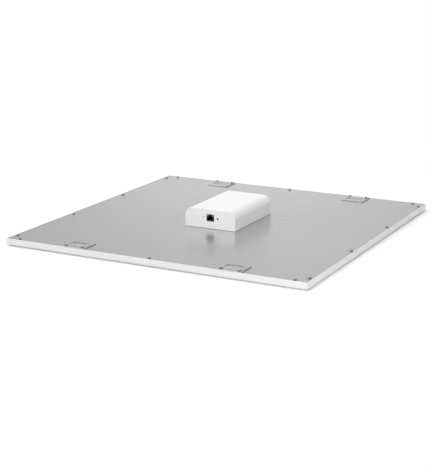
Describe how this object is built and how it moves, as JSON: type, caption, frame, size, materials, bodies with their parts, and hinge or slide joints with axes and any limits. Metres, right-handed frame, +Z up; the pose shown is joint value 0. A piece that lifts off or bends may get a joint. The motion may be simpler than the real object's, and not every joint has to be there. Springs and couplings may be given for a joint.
{
  "type": "lay-in ceiling light panel",
  "caption": "Square lay-in ceiling panel lit from its edges, with a low white network-powered module on its metal back plate and hinged grid clips along two sides.",
  "frame": {"origin": "centre of the visible lower face, on the plane of the frame's flange", "axes": "+Z up into the ceiling void, -Y the side that the network jack faces, +X to the right as seen from that side"},
  "size_m": [0.595, 0.595, 0.0508],
  "materials": {
    "frame": "satin white powder coat",
    "back_plate": "satin, fine brushed",
    "corner_key": "plain cast",
    "diffuser": "opal, fine matt",
    "light_guide": "clear",
    "reflector": "white film",
    "foam": "soft foam",
    "led_strip": "white solder mask",
    "screw": "zinc plated",
    "clip": "bright zinc plated",
    "module": "smooth satin",
    "board": "green solder mask",
    "jack": "moulded black",
    "contacts": "gold plated",
    "light_pipe": "clear",
    "button": "moulded",
    "ferrite": "matt",
    "capacitor": "can",
    "connector": "moulded",
    "lead": "smooth jacket",
    "rubber": "matt"
  },
  "bodies": {
    "panel": {"back_plate": "back_plate", "back_rail": "frame", "backing_foam": "foam", "cable_grommet": "rubber", "capacitor": "capacitor", "clip_screw_1": "screw", "clip_screw_2": "screw", "clip_screw_3": "screw", "clip_screw_4": "screw", "clip_screw_5": "screw", "clip_screw_6": "screw", "clip_screw_7": "screw", "clip_screw_8": "screw", "corner_key_back_left": "corner_key", "corner_key_back_right": "corner_key", "corner_key_front_left": "corner_key", "corner_key_front_right": "corner_key", "diffuser": "diffuser", "frame_screw_01": "screw", "frame_screw_02": "screw", "frame_screw_03": "screw", "frame_screw_04": "screw", "frame_screw_05": "screw", "frame_screw_06": "screw", "frame_screw_07": "screw", "frame_screw_08": "screw", "frame_screw_09": "screw", "frame_screw_10": "screw", "frame_screw_11": "screw", "frame_screw_12": "screw", "frame_screw_13": "screw", "frame_screw_14": "screw", "front_rail": "frame", "grid_clip_1": "clip", "grid_clip_2": "clip", "grid_clip_3": "clip", "grid_clip_4": "clip", "inductor": "ferrite", "jack_contacts": "contacts", "led_lead": "lead", "led_strip_left": "led_strip", "led_strip_right": "led_strip", "left_rail": "frame", "light_guide": "light_guide", "light_pipe": "light_pipe", "main_board": "board", "module_base": "module", "module_cover": "module", "module_screw_1": "screw", "module_screw_2": "screw", "network_jack": "jack", "output_connector": "connector", "reflector_sheet": "reflector", "right_rail": "frame", "transformer": "ferrite"},
    "clip_flap_1": {"clip_flap_1": "clip"},
    "clip_flap_2": {"clip_flap_2": "clip"},
    "clip_flap_3": {"clip_flap_3": "clip"},
    "clip_flap_4": {"clip_flap_4": "clip"},
    "reset_button": {"reset_button": "button"}
  },
  "joints": [
    {"name": "clip_flap_1_hinge", "type": "hinge", "parent": "panel", "child": "clip_flap_1", "pos_m": [-0.1545, -0.2833, 0.0152], "axis": [1, 0, 0], "range_deg": [0, 160]},
    {"name": "clip_flap_2_hinge", "type": "hinge", "parent": "panel", "child": "clip_flap_2", "pos_m": [0.1545, -0.2833, 0.0152], "axis": [1, 0, 0], "range_deg": [0, 160]},
    {"name": "clip_flap_3_hinge", "type": "hinge", "parent": "panel", "child": "clip_flap_3", "pos_m": [-0.1545, 0.2833, 0.0152], "axis": [-1, 0, 0], "range_deg": [0, 160]},
    {"name": "clip_flap_4_hinge", "type": "hinge", "parent": "panel", "child": "clip_flap_4", "pos_m": [0.1545, 0.2833, 0.0152], "axis": [-1, 0, 0], "range_deg": [0, 160]},
    {"name": "reset_press", "type": "slide", "parent": "panel", "child": "reset_button", "axis": [0, 1, 0], "range_m": [0, 0.0005], "stiffness_N_per_m": 400, "springref_m": -0.0005}
  ]
}
